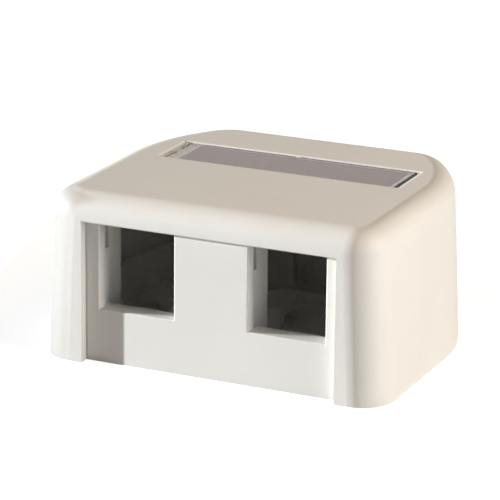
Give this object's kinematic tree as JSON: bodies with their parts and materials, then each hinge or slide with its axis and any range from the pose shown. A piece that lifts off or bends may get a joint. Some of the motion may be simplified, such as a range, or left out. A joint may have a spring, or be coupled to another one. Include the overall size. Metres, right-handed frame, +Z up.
{
  "type": "surface mount jack box",
  "caption": "Low box for surface mounting data jacks: screw-down base with jack openings in front, lift-off cover and a label under a clear window.",
  "frame": {"origin": "middle of the footprint, on the flat mounting face under the base", "axes": "+X to the right across the front, +Y from the front to the back, +Z up and away from the mounting face"},
  "size_m": [0.0676, 0.0566, 0.0316],
  "materials": {
    "housing": "fine satin moulded surface",
    "clear_window": "clear and polished",
    "label_paper": "plain card",
    "foam_tape": "foam tape under a paper liner"
  },
  "bodies": {
    "base": {"base": "housing", "tape_pad_left": "foam_tape", "tape_pad_right": "foam_tape"},
    "cover": {"cover": "housing", "label_card": "label_paper"},
    "window": {"label_window": "clear_window"}
  },
  "joints": [
    {"name": "cover_lift", "type": "slide", "parent": "base", "child": "cover", "axis": [0, 0, 1], "range_m": [0, 0.035]},
    {"name": "window_lift", "type": "slide", "parent": "cover", "child": "window", "axis": [0, 0, 1], "range_m": [0, 0.006]}
  ]
}
